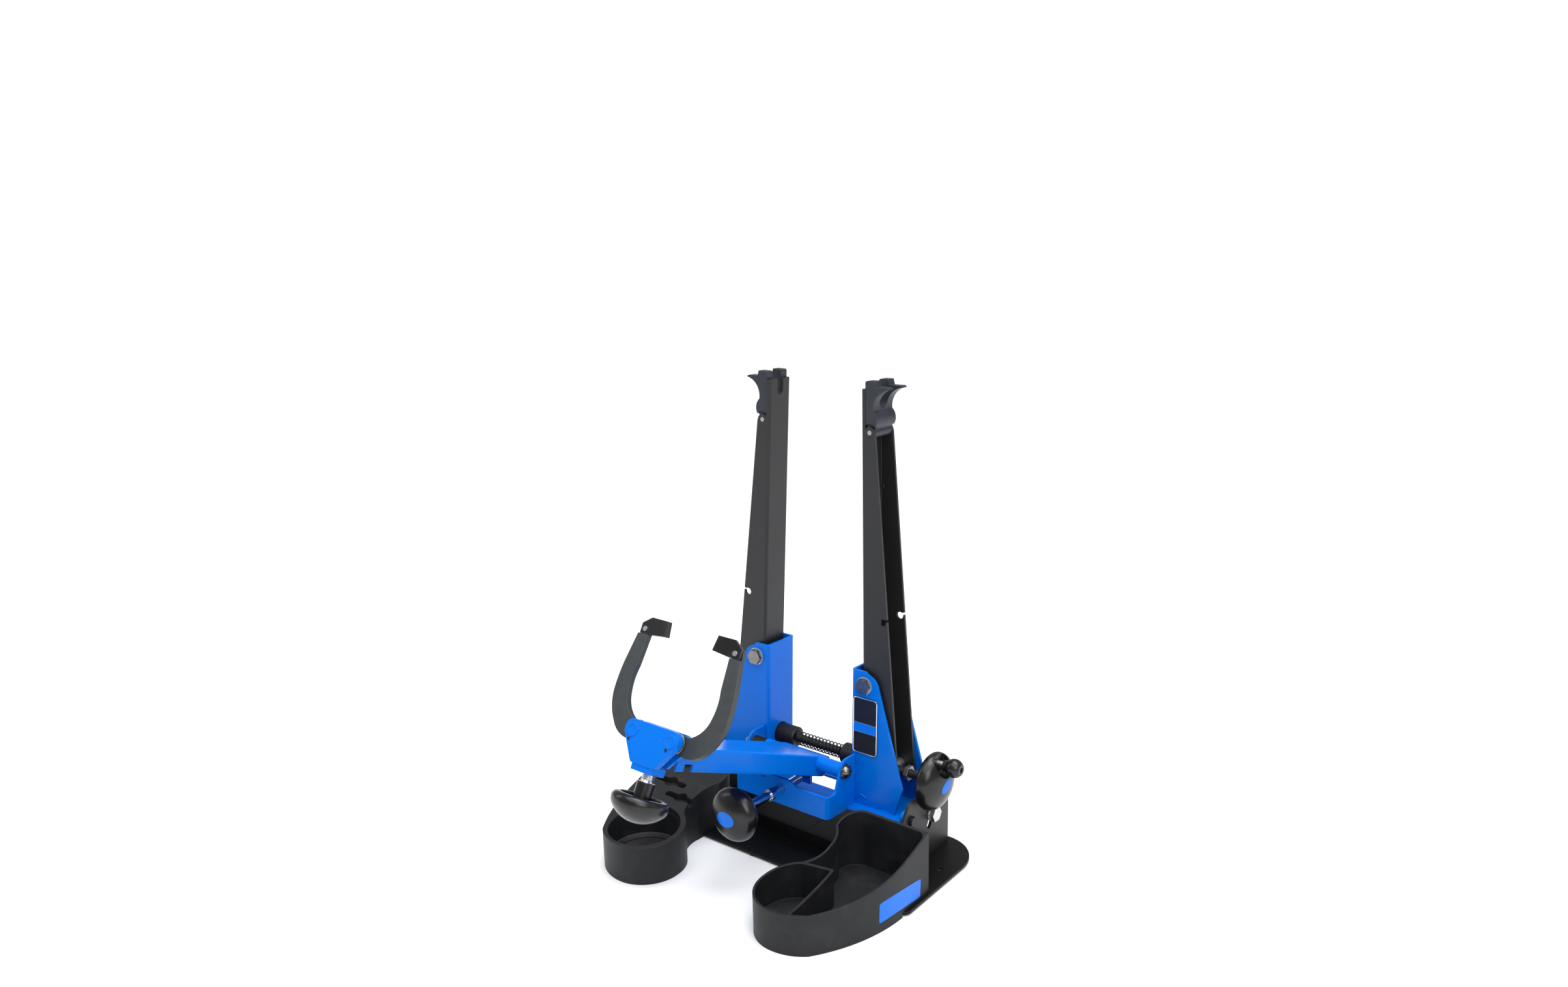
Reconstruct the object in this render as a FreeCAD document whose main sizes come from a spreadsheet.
import FreeCAD, Part, Sketcher
import math
import os
from types import SimpleNamespace

# Bicycle wheel truing stand on a tilting bench base, in millimetres and degrees.
# +Z is up, +X is the crank side, -Y is the front. The origin lies on the bench, midway
# between the two side bench holes. The upper stand leans back about the tilt pivot, and
# its pieces are drawn in the stand's own upright frame, then leaned as a whole.

SIZES = {
    # Fits and gaps shared by all pieces
    "lean": 2.35,
    "gap": 0.3,
    "fit": 0.08,
    "overrun": 20,
    # Base plates, bench holes and feet
    "plate_half_width": 187,
    "plate_front": 96,
    "plate_rear": 66,
    "plate_corner": 45,
    "plate_front_corner": 10,
    "plate_thick": 3,
    "plate_seam": 0.6,
    "bench_hole_x": 169,
    "bench_hole_radius": 3.5,
    "front_hole_x": 33.3,
    "front_hole_y": 84.8,
    "front_hole_radius": 3.2,
    "foot_height": 2,
    "foot_radius": 8,
    "foot_inset": 22,
    "foot_bore": 3,
    # Cross wall between the cheeks, and the screws that hold wall and cheeks down
    "wall_front": 43.5,
    "wall_thick": 3,
    "wall_rise": 15,
    "wall_foot": 24,
    "screw_shank": 2.1,
    "screw_head": 4.2,
    "screw_dome": 2.4,
    "screw_reach": 5.4,
    "wall_screw_x": 98,
    "seam_screw_x": 12,
    # Cheeks
    "cheek_thick": 3.5,
    "cheek_front": 45.5,
    "cheek_rear": 59,
    "cheek_top": 85,
    "cheek_nose": 50,
    "cheek_slope": 24,
    "cheek_round": 10,
    "cheek_foot": 28,
    "cheek_foot_front": 12,
    # Tilt pivot and lock, both along X
    "pivot_y": -18.4,
    "pivot_z": 62.7,
    "stand_pivot_y": -27.2,
    "pivot_shank": 4,
    "pivot_head": 6,
    "pivot_head_thick": 4.2,
    "nut_thick": 5,
    "lock_radius": 42,
    "lock_angle": 7.66,
    "lock_shank": 4,
    "lock_head": 15.5,
    "lock_head_thick": 6,
    "lock_washer": 9,
    "washer_thick": 1.5,
    "slot_clear": 0.5,
    "tilt_range": 19,
    # Trays
    "tray_wall": 2.5,
    "tray_floor": 9,
    "tray_floor_thick": 3,
    "tray_front": 221,
    "tray_half_width": 183,
    "rim_front": 44.5,
    "rim_middle": 51,
    "rim_rear": 75,
    "cup_radius": 41,
    "cup_bowl": 9,
    "cup_x": 110,
    "cup_y": 176,
    "bin_corner": 8,
    "deck_shell": 42,
    "wrench_lobe": 8,
    "wrench_arm": 4.2,
    "wrench_reach": 19,
    "wrench_depth": 9,
    # Cradle: floor with side plates
    "cradle_half": 140,
    "cradle_thick": 3,
    "cradle_floor": 58.5,
    "cradle_front": 40,
    "cradle_rear": 27,
    "cradle_low": 48,
    "cradle_high": 76,
    "cradle_round": 8,
    "window_half": 52,
    "window_front": 15,
    "window_rear": 12,
    "window_round": 6,
    # Front channel with its ears
    "channel_half": 67,
    "channel_front": 77,
    "channel_top": 84.5,
    "channel_bend": 6,
    "tab_half": 14,
    "tab_rise": 5.5,
    "tab_round": 7,
    "ear_top": 119.5,
    "ear_round": 12,
    "ear_reach": 10,
    "ear_foot": 62,
    # Brackets round the uprights' feet
    "bracket_inner": 59.5,
    "bracket_half_depth": 24.7,
    "bracket_thick": 3,
    "bracket_top": 219,
    "bracket_top_width": 15,
    "bracket_width": 69.4,
    "bracket_waist": 93.3,
    "bracket_foot_width": 60,
    "bracket_bend": 4,
    "bracket_hole": 13,
    "label_low": 122.6,
    "label_high": 188.7,
    "label_inset": 3.5,
    "label_width": 32.3,
    "label_thick": 1.3,
    "label_rim": 1.2,
    "label_round": 4,
    "label_recess": 0.5,
    # Uprights
    "upright_x": 77,
    "upright_z": 203,
    "splay": 1.43,
    "upright_half_depth": 18.4,
    "upright_thick": 2.5,
    "upright_web": 7,
    "upright_bend": 3,
    "upright_high": 327,
    "upright_low": 113,
    "upright_width_high": 14,
    "upright_width_low": 46.8,
    "upright_shank": 5,
    "upright_bolt_head": 16,
    "upright_bolt_thick": 5,
    "upright_washer": 10,
    "spacer_radius": 9,
    "axle_rise": 313.6,
    "axle_slot": 5.2,
    "notch_rise": 74,
    "notch_radius": 4,
    "notch_neck": 2.6,
    # Spread mechanism on the main shaft, along X
    "shaft_z": 103.5,
    "shaft_radius": 5,
    "shaft_left": 121,
    "shaft_right": 160,
    "spring_half": 34,
    "spring_wire": 1.5,
    "spring_mean": 7.6,
    "spring_turns": 13,
    "collar_radius": 12.2,
    "collar_lip": 3,
    "collar_nose": 30,
    "trunnion_x": 100,
    "trunnion_radius": 7,
    "trunnion_rise": 2.3,
    "trunnion_proud": 0.8,
    "shaft_nut": 15,
    "shaft_nut_start": 119,
    # Crank knob and spinner
    "knob_radius": 32.5,
    "knob_back": 147.5,
    "knob_depth": 25.5,
    "knob_skirt": 6,
    "knob_recess": 6,
    "knob_wall": 3,
    "knob_hub": 9,
    "spinner_throw": 22,
    "spinner_recess": 13.5,
    "spinner_floor": 158,
    "spinner_radius": 10.5,
    "spinner_start": 167,
    "spinner_end": 188,
    "spinner_stem": 4,
    "spinner_neck": 6,
    "spinner_hex": 5,
    # Arm and its pivot
    "arm_y": -45.5,
    "arm_z": 105.8,
    "arm_slope": 20.8,
    "arm_rear": 18.5,
    "arm_half_rear": 33,
    "arm_half_front": 24.5,
    "arm_up": 8.1,
    "arm_down": 15.5,
    "arm_thick": 2.5,
    "arm_round": 8,
    "tube_radius": 8.5,
    "tube_left": 44,
    "rod_radius": 4,
    "button_radius": 7.6,
    "button_thick": 5.2,
    "button_socket": 4.6,
    "star_radius": 9.2,
    "star_thick": 1.6,
    "star_lobes": 6,
    "arm_spring_wire": 1.8,
    "arm_spring_mean": 7.2,
    "arm_spring_turns": 6,
    # Tilt screw of the arm, along Y
    "lift_drop": 29.3,
    "lug_face": 10,
    "lug_thick": 4,
    "lug_half": 11,
    "lug_gap": 0.5,
    "lug_tail": 6.5,
    "bushing_radius": 6.75,
    "bushing_front": 98,
    "bushing_rear": 70.5,
    "lift_rod": 5,
    "lift_nose": 2.5,
    "lift_back": 147,
    "lift_knob_radius": 30,
    "lift_knob_depth": 25.5,
    "lift_skirt": 8,
    # Caliper head, drawn in the plane of its face
    "head_y": -280,
    "head_z": 211,
    "head_tilt": 62,
    "head_half_top": 35.5,
    "head_top": 9.5,
    "head_waist": 4,
    "head_half_low": 15.5,
    "head_low": 31.5,
    "head_thick": 8,
    "head_slot": 11,
    "back_thick": 4,
    "caliper_pivot": 25.4,
    "caliper_drop": 0.8,
    "caliper_pin": 4,
    "boss_radius": 7.5,
    "boss_rise": 0.7,
    "post_x": 11.5,
    "post_y": 5,
    "post_radius": 3,
    "chin_half": 13,
    "chin_drop": 6,
    "stem_depth": 15.2,
    "stem_radius": 6.3,
    "cone_start": 24,
    "cone_length": 16,
    "cone_tip": 1.5,
    "cone_contact": 3.8,
    # Caliper arms
    "caliper_thick": 6.7,
    "caliper_hub": 9.2,
    "caliper_reach": 51.4,
    "caliper_height": 104.4,
    "tail_drop": 14,
    "tail_width": 5,
    "tip_lap": 11,
    "tip_length": 33,
    "tip_height": 15,
    "tip_screw": 2.6,
    "torsion_wire": 1.6,
    "torsion_mean": 10.5,
    # Caliper knob
    "grip_radius": 29.7,
    "grip_depth": 26.5,
    "grip_skirt": 6,
    "grip_top": 46,
    "grip_hub": 9.2,
    "grip_rib": 1.2,
    "grip_hub_rise": 22,
    "grip_rise": 14,
    # Axle adaptors
    "adaptor_top": 336,
    "adaptor_pin_x": 3.5,
    "adaptor_pin_z": 281,
    "adaptor_pin": 2.5,
    "adaptor_arc": 6.3,
    "adaptor_clear": 9.6,
    "adaptor_strip": 5,
    "adaptor_nose": 17,
    "adaptor_wave": 4,
    "adaptor_seat": 7.6,
}

FULL_TURN = 360
SHOULDER_SHARE = 0.42
HEX_SHARE = 1 / math.sqrt(3)
X = FreeCAD.Vector(1, 0, 0)
SIDES = {"left": -1, "right": 1}

doc = FreeCAD.newDocument("TruingStand")
sheet = doc.addObject("Spreadsheet::Sheet", "Sizes")
pieces = []


class Size:
    """A number together with the sheet formula that gives it."""

    def __init__(self, value, text):
        self.value = value
        self.text = text

    @staticmethod
    def of(other):
        if isinstance(other, Size):
            return other
        return Size(float(other), repr(float(other)))

    def join(self, other, sign, value):
        return Size(value, "(" + self.text + " " + sign + " " + other.text + ")")

    def __add__(self, other):
        other = Size.of(other)
        return self.join(other, "+", self.value + other.value)

    def __sub__(self, other):
        other = Size.of(other)
        return self.join(other, "-", self.value - other.value)

    def __mul__(self, other):
        other = Size.of(other)
        return self.join(other, "*", self.value * other.value)

    def __truediv__(self, other):
        other = Size.of(other)
        return self.join(other, "/", self.value / other.value)

    def __radd__(self, other):
        return Size.of(other) + self

    def __rsub__(self, other):
        return Size.of(other) - self

    def __rmul__(self, other):
        return Size.of(other) * self

    def __neg__(self):
        return Size.of(-1) * self


def cosine(angle):
    return Size(math.cos(math.radians(angle.value)), "cos(" + angle.text + ")")


def sine(angle):
    return Size(math.sin(math.radians(angle.value)), "sin(" + angle.text + ")")


def root(size):
    return Size(math.sqrt(size.value), "sqrt(" + size.text + ")")


def fill_sheet():
    for row, (name, value) in enumerate(SIZES.items(), 1):
        cell = "B" + str(row)
        sheet.set("A" + str(row), name)
        sheet.set(cell, str(value))
        sheet.setAlias(cell, name)
    doc.recompute()
    return SimpleNamespace(**{name: Size(float(value), "Sizes." + name) for name, value in SIZES.items()})


mm = fill_sheet()


def bind(target, path, size):
    if "Sizes." in size.text:
        target.setExpression(path, size.text)


# Bodies and where they stand

def piece(label):
    body = doc.addObject("PartDesign::Body", label)
    body.Label = label
    pieces.append(body)
    return body


def stand_point(y, z):
    """Where a point of the upright stand lies once the stand leans about its pivot."""
    back = y - mm.stand_pivot_y
    rise = z - mm.pivot_z
    world_y = mm.pivot_y + back * cosine(mm.lean) + rise * sine(mm.lean)
    world_z = mm.pivot_z - back * sine(mm.lean) + rise * cosine(mm.lean)
    return world_y, world_z


def stand_piece(label, x=0, y=0, z=0, turn=0):
    """A body whose own frame stands at a point of the stand, turned about X."""
    body = piece(label)
    world_y, world_z = stand_point(Size.of(y), Size.of(z))
    set_place(body, Size.of(x), world_y, world_z, Size.of(turn) - mm.lean)
    return body


def set_place(body, x, y, z, turn):
    spot = FreeCAD.Vector(x.value, y.value, z.value)
    body.Placement = FreeCAD.Placement(spot, FreeCAD.Rotation(X, turn.value))
    bind(body, "Placement.Base.x", x)
    bind(body, "Placement.Base.y", y)
    bind(body, "Placement.Base.z", z)


# Outlines drawn in sketches

def arc_about(centre, start, end, turns_left):
    """An arc edge from start to end, and the numbers of its two ends in that order."""
    radius = math.dist(centre, start)
    angles = [math.atan2(p[1] - centre[1], p[0] - centre[0]) for p in (start, end)]
    circle = Part.Circle(FreeCAD.Vector(*centre, 0), FreeCAD.Vector(0, 0, 1), radius)
    if turns_left:
        return Part.ArcOfCircle(circle, angles[0], angles[1]), 1, 2
    return Part.ArcOfCircle(circle, angles[1], angles[0]), 2, 1


def centre_through(a, b, c):
    d = 2 * (a[0] * (b[1] - c[1]) + b[0] * (c[1] - a[1]) + c[0] * (a[1] - b[1]))
    squares = [p[0] ** 2 + p[1] ** 2 for p in (a, b, c)]
    x = (squares[0] * (b[1] - c[1]) + squares[1] * (c[1] - a[1]) + squares[2] * (a[1] - b[1])) / d
    y = (squares[0] * (c[0] - b[0]) + squares[1] * (a[0] - c[0]) + squares[2] * (b[0] - a[0])) / d
    return (x, y)


def leans_left(a, b, c):
    return (b[0] - a[0]) * (c[1] - b[1]) - (b[1] - a[1]) * (c[0] - b[0]) > 0


def flat(point):
    return (Size.of(point[0]).value, Size.of(point[1]).value)


class Draft:
    """A sketch on one of a body's own planes, with every measure bound to the sheet."""

    def __init__(self, body, plane, origin):
        count = len(body.Group)
        self.sketch = body.newObject("Sketcher::SketchObject", body.Name + "_draft" + str(count))
        support = [f for f in body.Origin.OriginFeatures if f.Role == plane][0]
        self.sketch.AttachmentSupport = [(support, "")]
        self.sketch.MapMode = "FlatFace"
        shift = [Size.of(size) for size in origin]
        self.sketch.AttachmentOffset = FreeCAD.Placement(
            FreeCAD.Vector(*[size.value for size in shift]), FreeCAD.Rotation())
        for axis, size in zip("xyz", shift):
            bind(self.sketch, "AttachmentOffset.Base." + axis, size)
        self.geometry = []
        self.helpers = []
        self.rules = []
        self.bound = []

    def add(self, geometry):
        self.geometry.append(geometry)
        self.helpers.append(isinstance(geometry, Part.Point))
        return len(self.geometry) - 1

    def rule(self, *parts):
        self.rules.append(Sketcher.Constraint(*parts))

    def measure(self, kind, *parts):
        size = Size.of(parts[-1])
        self.bound.append((len(self.rules), size))
        self.rule(kind, *parts[:-1], size.value)

    def pin(self, index, end, point):
        self.measure("DistanceX", -1, 1, index, end, point[0])
        self.measure("DistanceY", -1, 1, index, end, point[1])

    def helper(self, point):
        index = self.add(Part.Point(FreeCAD.Vector(*flat(point), 0)))
        self.pin(index, 1, point)
        return index

    def circle(self, x, y, radius):
        radius = Size.of(radius)
        index = self.add(Part.Circle(FreeCAD.Vector(*flat((x, y)), 0), FreeCAD.Vector(0, 0, 1), radius.value))
        self.pin(index, 3, (x, y))
        self.measure("Radius", index, radius)

    def loop(self, steps):
        """A closed outline. A step is a corner (x, y), a corner with a rounding (x, y, r),
        or an arc to a corner: ("bow", via_x, via_y, x, y). A bow to None closes the outline."""
        corners = []
        bows = []
        for step in steps:
            if step[0] == "bow":
                bows.append((step[1], step[2]))
                if step[3] is not None:
                    corners.append((step[3], step[4]))
            else:
                if corners:
                    bows.append(None)
                corners.append(step)
        if len(bows) < len(corners):
            bows.append(None)
        self.draw(corners, bows)

    def draw(self, corners, bows):
        total = len(corners)
        trims = [self.trim(corners, i) for i in range(total)]
        edges = []
        for i in range(total):
            start = trims[i][1]
            end = trims[(i + 1) % total][0]
            if bows[i] is None:
                line = Part.LineSegment(FreeCAD.Vector(*start, 0), FreeCAD.Vector(*end, 0))
                edges.append((self.add(line), 1, 2))
                continue
            via = flat(bows[i])
            centre = centre_through(start, via, end)
            arc, first, last = arc_about(centre, start, end, leans_left(start, via, end))
            index = self.add(arc)
            self.rule("PointOnObject", self.helper(bows[i]), 1, index)
            edges.append((index, first, last))
        for i in range(total):
            self.join(edges[i - 1], edges[i], corners[i], trims[i])

    def trim(self, corners, i):
        """Where the two edges at a corner stop, to leave room for its rounding."""
        here = flat(corners[i])
        if len(corners[i]) < 3:
            return here, here, None
        before = flat(corners[i - 1])
        after = flat(corners[(i + 1) % len(corners)])
        back = [(b - h) / math.dist(before, here) for b, h in zip(before, here)]
        ahead = [(a - h) / math.dist(after, here) for a, h in zip(after, here)]
        half = math.acos(back[0] * ahead[0] + back[1] * ahead[1]) / 2
        radius = Size.of(corners[i][2]).value
        run = radius / math.tan(half)
        start = tuple(h + run * b for h, b in zip(here, back))
        end = tuple(h + run * a for h, a in zip(here, ahead))
        middle = [b + a for b, a in zip(back, ahead)]
        reach = radius / math.sin(half) / math.hypot(*middle)
        centre = tuple(h + reach * m for h, m in zip(here, middle))
        return start, end, (centre, leans_left(before, here, after))

    def join(self, incoming, outgoing, corner, trim):
        start, end, rounding = trim
        if rounding is None:
            self.rule("Coincident", incoming[0], incoming[2], outgoing[0], outgoing[1])
            self.pin(outgoing[0], outgoing[1], corner)
            return
        arc, first, last = arc_about(rounding[0], start, end, rounding[1])
        index = self.add(arc)
        self.rule("Tangent", incoming[0], incoming[2], index, first)
        self.rule("Tangent", index, last, outgoing[0], outgoing[1])
        self.measure("Radius", index, corner[2])
        helper = self.helper(corner)
        self.rule("PointOnObject", helper, 1, incoming[0])
        self.rule("PointOnObject", helper, 1, outgoing[0])

    def done(self):
        for index, geometry in enumerate(self.geometry):
            self.sketch.addGeometry(geometry, self.helpers[index])
        self.sketch.addConstraint(self.rules)
        for index, size in self.bound:
            bind(self.sketch, "Constraints[" + str(index) + "]", size)
        return self.sketch


def ring(x, y, radius):
    return lambda draft: draft.circle(x, y, radius)


def outline(*steps):
    return lambda draft: draft.loop(steps)


def hexagon(x, y, across):
    """A hexagon with two flats level, given its width across flats."""
    tip = across * HEX_SHARE
    half = across / 2
    return outline((x + tip, y), (x + tip / 2, y + half), (x - tip / 2, y + half),
                   (x - tip, y), (x - tip / 2, y - half), (x + tip / 2, y - half))


def box(x_low, x_high, y_low, y_high, *rounding):
    return outline((x_low, y_low, *rounding), (x_high, y_low, *rounding),
                   (x_high, y_high, *rounding), (x_low, y_high, *rounding))


def slot(x_start, x_end, y, radius):
    """A long slot level with the sketch's first axis."""
    return outline((x_start, y - radius), (x_end, y - radius),
                   ("bow", x_end + radius, y, x_end, y + radius), (x_start, y + radius),
                   ("bow", x_start - radius, y, None))


# Features made from outlines

ALONG = {"X": "YZ_Plane", "Y": "XZ_Plane", "Z": "XY_Plane"}


def extrude(body, axis, low, high, *shapes, cut=False):
    """Material, or a cut, between two levels along one of the body's axes. Outlines are
    drawn as (y, z) along X, as (x, z) along Y and as (x, y) along Z."""
    low = Size.of(low)
    high = Size.of(high)
    draft = Draft(body, ALONG[axis], (0, 0, -high if axis == "Y" else low))
    for shape in shapes:
        shape(draft)
    sketch = draft.done()
    kind = "PartDesign::Pocket" if cut else "PartDesign::Pad"
    feature = body.newObject(kind, sketch.Name + ("_cut" if cut else "_pad"))
    feature.Profile = sketch
    feature.Reversed = cut
    bind(feature, "Length", high - low)
    sketch.Visibility = False
    return feature


def revolve(body, axis, centre, *shapes, cut=False):
    """A turned form about a line through centre along X, Y or Z. The outline is drawn as
    (along, radius) for X and Y, and as (radius, along) for Z."""
    x, y, z = centre
    plane, shift, line = {"X": ("XY_Plane", (0, y, z), "H_Axis"),
                          "Y": ("YZ_Plane", (0, z, x), "H_Axis"),
                          "Z": ("XZ_Plane", (x, 0, -Size.of(y)), "V_Axis")}[axis]
    draft = Draft(body, plane, shift)
    for shape in shapes:
        shape(draft)
    sketch = draft.done()
    kind = "PartDesign::Groove" if cut else "PartDesign::Revolution"
    feature = body.newObject(kind, sketch.Name + ("_groove" if cut else "_turn"))
    feature.Profile = sketch
    feature.ReferenceAxis = (sketch, [line])
    feature.Angle = FULL_TURN
    sketch.Visibility = False
    return feature


def rod(body, axis, centre, low, high, radius, bore=None):
    """A round bar, or a ring where it has a bore, along one of the body's axes."""
    x, y, z = centre
    spot = {"X": (y, z), "Y": (x, z), "Z": (x, y)}[axis]
    shapes = [ring(*spot, radius)]
    if bore is not None:
        shapes.append(ring(*spot, bore))
    return extrude(body, axis, low, high, *shapes)


def drill(body, axis, centre, low, high, radius):
    x, y, z = centre
    spot = {"X": (y, z), "Y": (x, z), "Z": (x, y)}[axis]
    return extrude(body, axis, low, high, ring(*spot, radius), cut=True)


def dress(body, kind, radius, chosen):
    """Rounds or bevels the edges that the test picks."""
    doc.recompute()
    base = body.Tip
    names = ["Edge" + str(i) for i, edge in enumerate(base.Shape.Edges, 1) if chosen(edge)]
    feature = body.newObject("PartDesign::" + kind, body.Name + "_" + kind.lower() + str(len(body.Group)))
    feature.Base = (base, names)
    bind(feature, "Radius" if kind == "Fillet" else "Size", radius)
    base.Visibility = False
    return feature


def at_level(axis, level):
    """A test for edges that lie all along at one level of an axis."""
    place = "XYZ".index(axis)
    level = Size.of(level)

    def chosen(edge):
        return all(math.isclose(v.Point[place], level.value, abs_tol=SMALL) for v in edge.Vertexes)
    return chosen


SMALL = 1e-4


def span(side, near, far):
    """Two levels, outward from the middle plane, in rising order on either side."""
    return (near, far) if side > 0 else (-far, -near)

# Base, on the bench

plate_low = mm.foot_height
plate_top = plate_low + mm.plate_thick
cheek_inner = mm.cradle_half + mm.gap
cheek_outer = cheek_inner + mm.cheek_thick
foot_top = plate_top + mm.cheek_thick
cheek_foot_edge = cheek_inner - mm.cheek_foot
cheek_screw_x = (cheek_inner + cheek_foot_edge) / 2 - mm.cheek_thick
CHEEK_SCREW_SHARES = (0.15, 0.85)
cheek_foot_run = mm.cheek_rear + mm.cheek_foot_front
cheek_screw_ys = [cheek_foot_run * share - mm.cheek_foot_front for share in CHEEK_SCREW_SHARES]
wall_top = plate_top + mm.wall_rise
wall_rear = mm.wall_foot - mm.wall_front
wall_screw_y = (wall_rear + mm.wall_thick - mm.wall_front) / 2


def hold_down_spots(side):
    """Places of the screws through foot or wall and plate, on one side."""
    return [(side * cheek_screw_x, y) for y in cheek_screw_ys] + [
        (side * mm.wall_screw_x, wall_screw_y), (side * mm.seam_screw_x, wall_screw_y)]


def make_base_plate(name, side):
    body = piece("base_plate_" + name)
    edge = side * mm.plate_half_width
    seam = side * mm.plate_seam / 2
    holes = [ring(x, y, mm.screw_shank + mm.fit) for x, y in hold_down_spots(side)]
    extrude(body, "Z", plate_low, plate_top,
            outline((seam, -mm.plate_front), (edge, -mm.plate_front, mm.plate_front_corner),
                    (edge, mm.plate_rear, mm.plate_corner), (seam, mm.plate_rear)),
            ring(side * mm.bench_hole_x, 0, mm.bench_hole_radius),
            ring(side * mm.front_hole_x, -mm.front_hole_y, mm.front_hole_radius), *holes)


def make_cross_wall():
    body = piece("cross_wall")
    end = mm.cradle_half
    front = -mm.wall_front
    face = front + mm.wall_thick
    extrude(body, "X", -end, end,
            outline((front, plate_top), (front, wall_top), (face, wall_top),
                    (face, plate_top + mm.wall_thick, mm.wall_thick), (wall_rear, plate_top + mm.wall_thick),
                    (wall_rear, plate_top)))
    spots = [spot for side in (-1, 1) for spot in hold_down_spots(side)[2:]]
    extrude(body, "Z", plate_top, plate_top + mm.wall_thick,
            *[ring(x, y, mm.screw_shank + mm.fit) for x, y in spots], cut=True)


def arc_slot(y, z, radius, half_width, low, high):
    """A curved slot round a centre, between two angles below the level line."""
    def at(distance, angle):
        return (y + distance * cosine(angle), z - distance * sine(angle))
    outer = radius + half_width
    inner = radius - half_width
    middle = (low + high) / 2
    low_cap = at(radius, low - half_width / radius * DEGREES)
    high_cap = at(radius, high + half_width / radius * DEGREES)
    return outline(at(outer, low), ("bow", *at(outer, middle), *at(outer, high)),
                   ("bow", *high_cap, *at(inner, high)),
                   ("bow", *at(inner, middle), *at(inner, low)), ("bow", *low_cap, None))


DEGREES = math.degrees(1)
lock_rest = mm.lock_angle + mm.lean
lock_low = lock_rest - mm.slot_clear / mm.lock_radius * DEGREES
lock_high = lock_rest + mm.tilt_range + mm.slot_clear / mm.lock_radius * DEGREES


def make_cheek(name, side):
    body = piece("cheek_" + name)
    front = -mm.cheek_front
    extrude(body, "X", *span(side, cheek_inner, cheek_outer),
            outline((front, plate_top), (mm.cheek_rear, plate_top),
                    (mm.cheek_rear, mm.cheek_top, mm.cheek_round),
                    (front + mm.cheek_slope, mm.cheek_top, mm.cheek_round),
                    (front, mm.cheek_nose, mm.cheek_round)),
            ring(mm.pivot_y, mm.pivot_z, mm.pivot_shank + mm.fit),
            arc_slot(mm.pivot_y, mm.pivot_z, mm.lock_radius, mm.lock_shank + mm.gap, lock_low, lock_high))
    corner = mm.cheek_round
    reach = side * (cheek_inner + mm.cheek_thick / 2)
    holes = [ring(x, y, mm.screw_shank + mm.fit) for x, y in hold_down_spots(side)[:2]]
    front = -mm.cheek_foot_front
    extrude(body, "Z", plate_top, foot_top,
            outline((reach, front), (reach, mm.cheek_rear), (side * cheek_foot_edge, mm.cheek_rear, corner),
                    (side * cheek_foot_edge, front, corner)), *holes)


def make_feet():
    body = piece("rubber_feet")
    near = mm.foot_inset
    far = mm.plate_half_width - mm.plate_corner
    rear = mm.plate_rear - mm.foot_inset
    spots = [(side * x, y) for side in (-1, 1)
             for x, y in ((far, rear), (near, rear), (near, -mm.plate_front + mm.foot_radius + mm.gap))]
    spots.append((0, 0))
    shapes = [ring(x, y, mm.foot_radius) for x, y in spots]
    extrude(body, "Z", 0, plate_low, *shapes)


def make_hold_down_screws():
    body = piece("hold_down_screws")
    spots = [spot for side in (-1, 1) for spot in hold_down_spots(side)]
    tops = ([foot_top] * 2 + [plate_top + mm.wall_thick] * 2) * 2
    for (x, y), top in zip(spots, tops):
        _, via_z, via_r, apex, _ = cap_steps(top, mm.screw_head, mm.screw_dome)[0]
        revolve(body, "Z", (x, y, 0),
                outline((0, top - mm.screw_reach), (mm.screw_shank, top - mm.screw_reach),
                        (mm.screw_shank, top), (mm.screw_head, top), ("bow", via_r, via_z, 0, apex)))


def make_pivot_bolts():
    """Black shoulder bolts of the tilt pivot, head outside the cheek."""
    body = piece("tilt_pivot_bolts")
    tip = mm.cradle_half - mm.cradle_thick
    head = cheek_outer + mm.pivot_head_thick
    for side in (-1, 1):
        revolve(body, "X", (0, mm.pivot_y, mm.pivot_z),
                outline((side * tip, 0), (side * tip, mm.pivot_shank), (side * cheek_outer, mm.pivot_shank),
                        (side * cheek_outer, mm.pivot_head), (side * head, mm.pivot_head),
                        (side * head, 0)))


# Trays either side of the open front

tray_rear = mm.cheek_front + mm.gap
TRAY_WIDTH_SHARES = {
    "corner": (1.0, 0.0), "side": (1.0, 0.245), "flank": (0.943, 0.623), "nose": (0.792, 0.92),
    "front_via": (0.678, 0.988), "front": (0.541, 1.0), "cup_via": (0.4126, 0.93), "cup": (0.3443, 0.73),
    "neck_via": (0.377, 0.611), "neck": (0.4645, 0.52), "hip_via": (0.5137, 0.43), "hip": (0.519, 0.331),
    "waist_via": (0.5027, 0.24), "waist": (0.459, 0.177), "heel_via": (0.47, 0.063), "heel": (0.59, 0.0),
}
ORDER = (("corner", None), ("side", None), ("nose", "flank"), ("front", "front_via"), ("cup", "cup_via"),
         ("neck", "neck_via"), ("hip", "hip_via"), ("waist", "waist_via"), ("heel", "heel_via"))


def tray_spot(side, name):
    """A named point of the tray's plan, worked out from its half width and its length."""
    across, along = TRAY_WIDTH_SHARES[name]
    length = mm.tray_front - tray_rear
    return (side * mm.tray_half_width * across, -tray_rear - length * along)


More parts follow.
